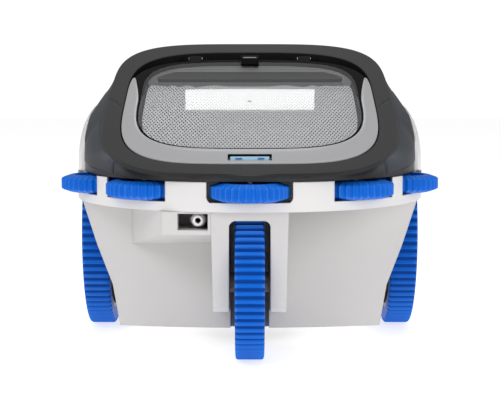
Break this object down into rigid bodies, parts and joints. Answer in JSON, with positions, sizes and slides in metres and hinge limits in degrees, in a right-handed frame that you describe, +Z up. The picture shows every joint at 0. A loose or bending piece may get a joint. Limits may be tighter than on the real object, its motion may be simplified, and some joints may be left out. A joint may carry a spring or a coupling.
{
  "type": "pool cleaner",
  "caption": "Water-driven pool cleaner on ribbed wheels with bumper rollers, a hinged clear lid over a mesh debris canister, a carry arch, aiming jets and a suction throat.",
  "frame": {"origin": "centre of the bounding box in X and Y, on the floor", "axes": "+X towards the right as the front is faced, +Y from the front to the back, +Z up"},
  "size_m": [0.3632, 0.4199, 0.298],
  "materials": {
    "blue_rubber": "matte, fine grain",
    "white_shell": "satin",
    "light_shell": "satin",
    "dark_cover": "satin",
    "side_panel": "satin",
    "lid_grey": "gloss",
    "lens_clear": "clear gloss",
    "black_plastic": "matte",
    "grey_plastic": "matte",
    "mesh_grey": "fine woven mesh",
    "label_blue": "satin",
    "nozzle_white": "gloss",
    "steel": "turned",
    "bush_tan": "matte",
    "seal_rubber": "matte",
    "foam": "closed cell foam"
  },
  "bodies": {
    "chassis": {"ballast": "steel", "base_plate": "light_shell", "base_screws": "steel", "bumper_band": "white_shell", "canister_frame": "grey_plastic", "canister_mesh": "mesh_grey", "carry_arch": "dark_cover", "feed_inlet": "grey_plastic", "flap_pin": "steel", "float_block": "foam", "front_axle": "steel", "front_bushes": "bush_tan", "front_fork": "light_shell", "front_jet_pipe": "black_plastic", "hinge_brackets": "black_plastic", "inner_deck": "grey_plastic", "intake_skirt": "seal_rubber", "jet_housing": "light_shell", "lid_hinge_pins": "steel", "lower_shell": "light_shell", "rear_axles": "steel", "rear_jet_socket": "grey_plastic", "rear_shell": "white_shell", "roller_pins": "steel", "shaft_bearings": "bush_tan", "side_panels": "side_panel", "suction_throat": "grey_plastic", "tail_barb": "grey_plastic", "thrust_jet_socket": "grey_plastic", "top_cover": "dark_cover", "turbine_housing": "black_plastic", "venturi_ring": "grey_plastic", "water_manifold": "black_plastic", "wheel_retainers": "steel"},
    "front_wheel": {"front_tyre": "blue_rubber", "front_hub": "grey_plastic"},
    "rear_wheel_left": {"rear_tyre_left": "blue_rubber", "rear_hub_left": "grey_plastic", "rear_ring_gear_left": "grey_plastic"},
    "rear_wheel_right": {"rear_tyre_right": "blue_rubber", "rear_hub_right": "grey_plastic", "rear_ring_gear_right": "grey_plastic"},
    "turbine_shaft": {"drive_shaft": "steel", "drive_pinions": "grey_plastic", "turbine_wheel": "grey_plastic"},
    "lid": {"lid_frame": "lid_grey", "lid_lens": "lens_clear", "lid_gasket": "seal_rubber"},
    "latch": {"latch_button": "label_blue"},
    "flap": {"intake_flap": "grey_plastic"},
    "front_jet": {"thrust_jet_ball": "nozzle_white"},
    "rear_jet": {"rear_jet_nozzle": "nozzle_white"},
    "inlet": {"inlet_swivel": "nozzle_white"},
    "spin_left_side": {"roller_left_side": "blue_rubber"},
    "spin_left_corner": {"roller_left_corner": "blue_rubber"},
    "spin_front": {"roller_front": "blue_rubber"},
    "spin_right_corner": {"roller_right_corner": "blue_rubber"},
    "spin_right_side": {"roller_right_side": "blue_rubber"}
  },
  "joints": [
    {"name": "front_wheel_spin", "type": "hinge", "parent": "chassis", "child": "front_wheel", "pos_m": [0, -0.129, 0.072], "axis": [1, 0, 0], "continuous": true},
    {"name": "rear_left_wheel_spin", "type": "hinge", "parent": "chassis", "child": "rear_wheel_left", "pos_m": [-0.155, 0.063, 0.1], "axis": [1, 0, 0], "continuous": true},
    {"name": "rear_right_wheel_spin", "type": "hinge", "parent": "chassis", "child": "rear_wheel_right", "pos_m": [0.155, 0.063, 0.1], "axis": [1, 0, 0], "continuous": true},
    {"name": "turbine_shaft_spin", "type": "hinge", "parent": "chassis", "child": "turbine_shaft", "pos_m": [0, 0.063, 0.068], "axis": [1, 0, 0], "continuous": true},
    {"name": "roller_left_side_spin", "type": "hinge", "parent": "chassis", "child": "spin_left_side", "pos_m": [-0.14557, -0.07502, 0.1607], "axis": [0, 0, 1], "continuous": true},
    {"name": "roller_left_corner_spin", "type": "hinge", "parent": "chassis", "child": "spin_left_corner", "pos_m": [-0.09621, -0.14102, 0.1607], "axis": [0, 0, 1], "continuous": true},
    {"name": "roller_front_spin", "type": "hinge", "parent": "chassis", "child": "spin_front", "pos_m": [0, -0.174, 0.1607], "axis": [0, 0, 1], "continuous": true},
    {"name": "roller_right_corner_spin", "type": "hinge", "parent": "chassis", "child": "spin_right_corner", "pos_m": [0.09621, -0.14102, 0.1607], "axis": [0, 0, 1], "continuous": true},
    {"name": "roller_right_side_spin", "type": "hinge", "parent": "chassis", "child": "spin_right_side", "pos_m": [0.14557, -0.07502, 0.1607], "axis": [0, 0, 1], "continuous": true},
    {"name": "lid_hinge", "type": "hinge", "parent": "chassis", "child": "lid", "pos_m": [0, 0.112, 0.2795], "axis": [-1, 0, 0], "range_deg": [0, 75]},
    {"name": "latch_press", "type": "slide", "parent": "lid", "child": "latch", "axis": [0, 0, -1], "range_m": [0, 0.002], "stiffness_N_per_m": 600, "springref_m": -0.001},
    {"name": "intake_flap_hinge", "type": "hinge", "parent": "chassis", "child": "flap", "pos_m": [0, 0.026, 0.157], "axis": [-1, 0, 0], "range_deg": [0, 60]},
    {"name": "front_jet_aim", "type": "hinge", "parent": "chassis", "child": "front_jet", "pos_m": [-0.0465, -0.166, 0.1346], "axis": [0, 0, 1], "range_deg": [-10, 10]},
    {"name": "rear_jet_aim", "type": "hinge", "parent": "chassis", "child": "rear_jet", "pos_m": [0, 0.173, 0.062], "axis": [1, 0, 0], "range_deg": [-12, 12]},
    {"name": "inlet_swivel_spin", "type": "hinge", "parent": "chassis", "child": "inlet", "pos_m": [-0.052, 0.19, 0.104], "axis": [0, 1, 0], "continuous": true}
  ],
  "couplings": [
    {"joint": "rear_right_wheel_spin", "follows": "rear_left_wheel_spin", "ratio": 1},
    {"joint": "turbine_shaft_spin", "follows": "rear_left_wheel_spin", "ratio": 5}
  ]
}
